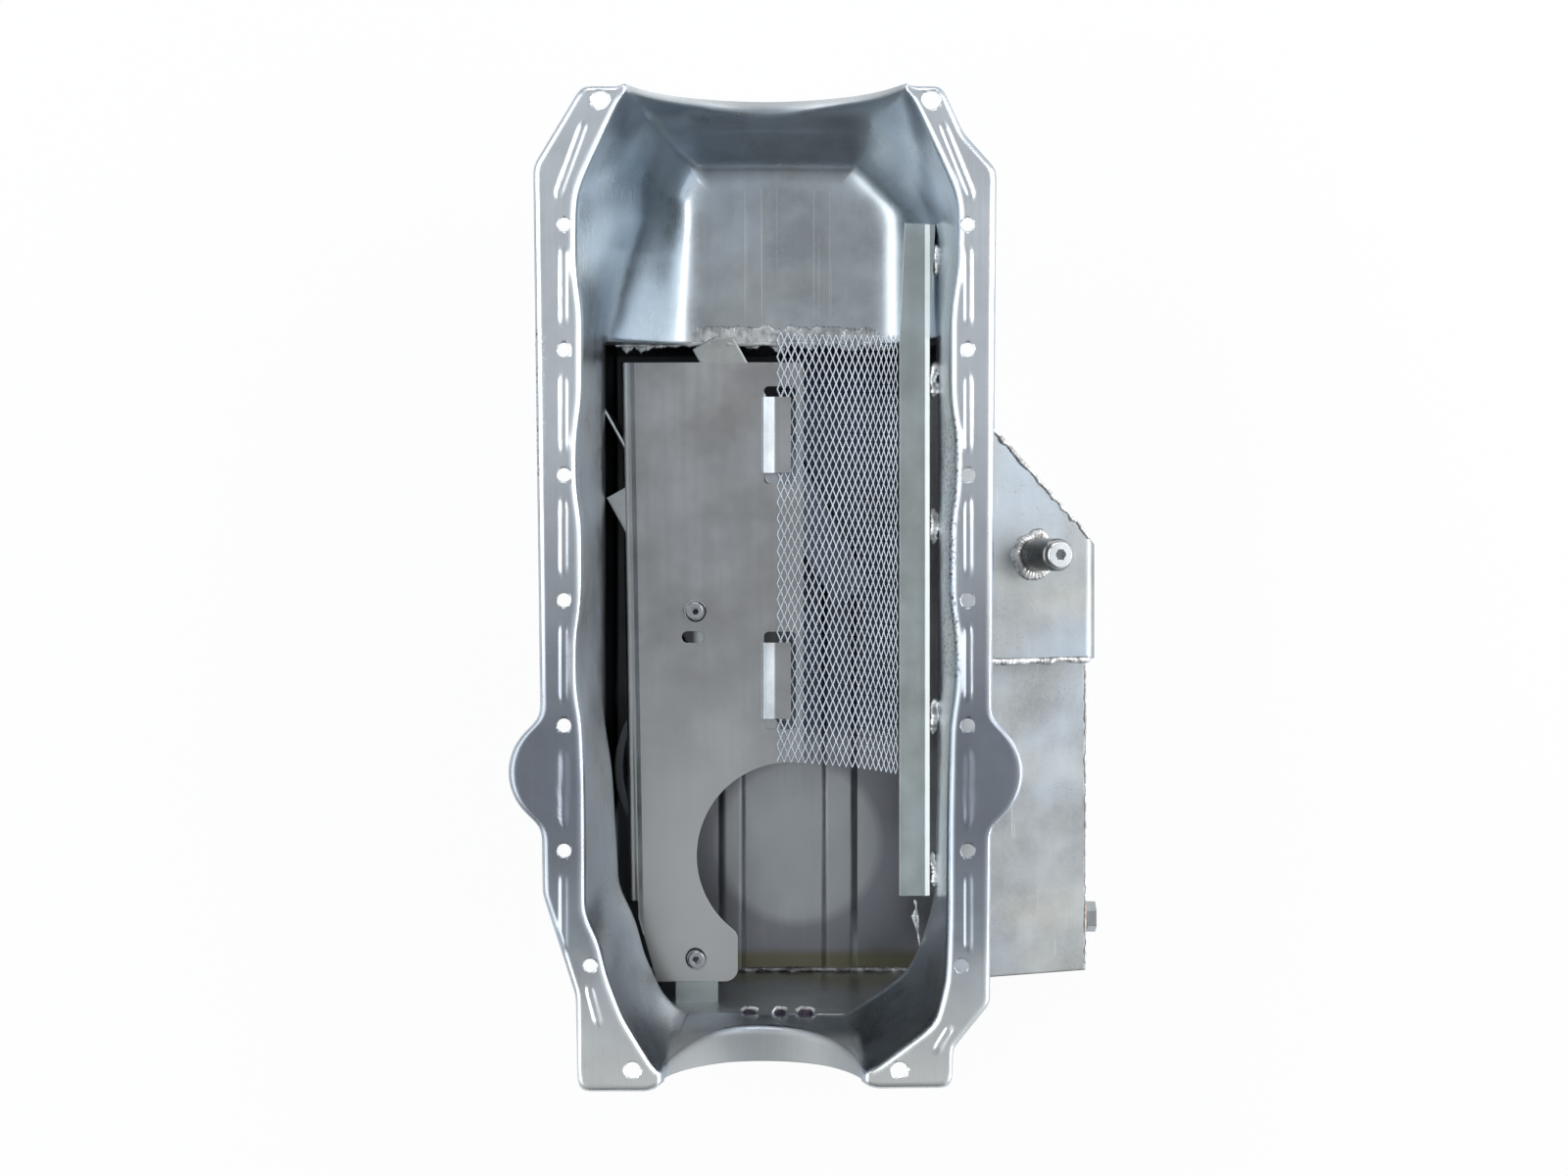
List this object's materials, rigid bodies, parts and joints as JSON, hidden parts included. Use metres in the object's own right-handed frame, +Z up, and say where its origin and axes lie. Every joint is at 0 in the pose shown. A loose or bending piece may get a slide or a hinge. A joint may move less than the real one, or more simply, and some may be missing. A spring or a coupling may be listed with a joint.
{
  "type": "engine oil pan",
  "caption": "Zinc plated steel oil pan with a bolt rail, shallow front, welded deep rear sump with a side kick-out, windage tray, mesh screen and trap doors.",
  "frame": {"origin": "centre of the twelve side bolt holes, in the gasket face of the rail", "axes": "+Z up out of the open mouth towards the engine block, +Y to the front of the engine, +X to the kick-out side"},
  "size_m": [0.3515, 0.5669, 0.201],
  "materials": {
    "zinc_sheet": "zinc plated, satin, with bright bends",
    "sump_sheet": "zinc plated sheet, satin, with weld heat marks",
    "tray_sheet": "bare brushed sheet with a clear coat",
    "mesh_steel": "expanded metal, satin",
    "weld_metal": "rippled weld bead under zinc",
    "bright_steel": "zinc plated fastener, bright",
    "turned_steel": "turned and plated",
    "copper": "copper, slightly dull"
  },
  "bodies": {
    "pan": {"pan_body": "zinc_sheet", "sump_front_wall": "sump_sheet", "sump_rear_wall": "sump_sheet", "sump_wrap": "sump_sheet", "kickout_cap": "sump_sheet", "kickout_front_wall": "sump_sheet", "kickout_rear_top": "sump_sheet", "kickout_rear_wall": "sump_sheet", "kickout_step_plate": "sump_sheet", "screen_bar": "tray_sheet", "bar_stitch_welds": "weld_metal", "windage_tray": "tray_sheet", "tray_screen": "mesh_steel", "tray_rear_bracket": "tray_sheet", "baffle_wall_front": "sump_sheet", "baffle_wall_rear": "sump_sheet", "hinge_pin_front": "bright_steel", "hinge_pin_rear": "bright_steel", "curved_baffle": "sump_sheet", "tray_washers": "bright_steel", "tray_nuts": "bright_steel", "tray_screws": "bright_steel", "cap_boss": "turned_steel", "cap_boss_plug": "bright_steel", "drain_bung": "turned_steel", "drain_washer": "copper", "drain_plug": "bright_steel"},
    "rear_door": {"trap_door_rear": "sump_sheet"},
    "front_door": {"trap_door_front": "sump_sheet"}
  },
  "joints": [
    {"name": "rear_trap_door", "type": "hinge", "parent": "pan", "child": "rear_door", "pos_m": [-0.03667, -0.03337, -0.1305], "axis": [-0.4848, 0.8746, 0], "range_deg": [0, 55]},
    {"name": "front_trap_door", "type": "hinge", "parent": "pan", "child": "front_door", "pos_m": [0.0242, 0.04039, -0.1305], "axis": [-0.4848, 0.8746, 0], "range_deg": [0, 55]}
  ]
}
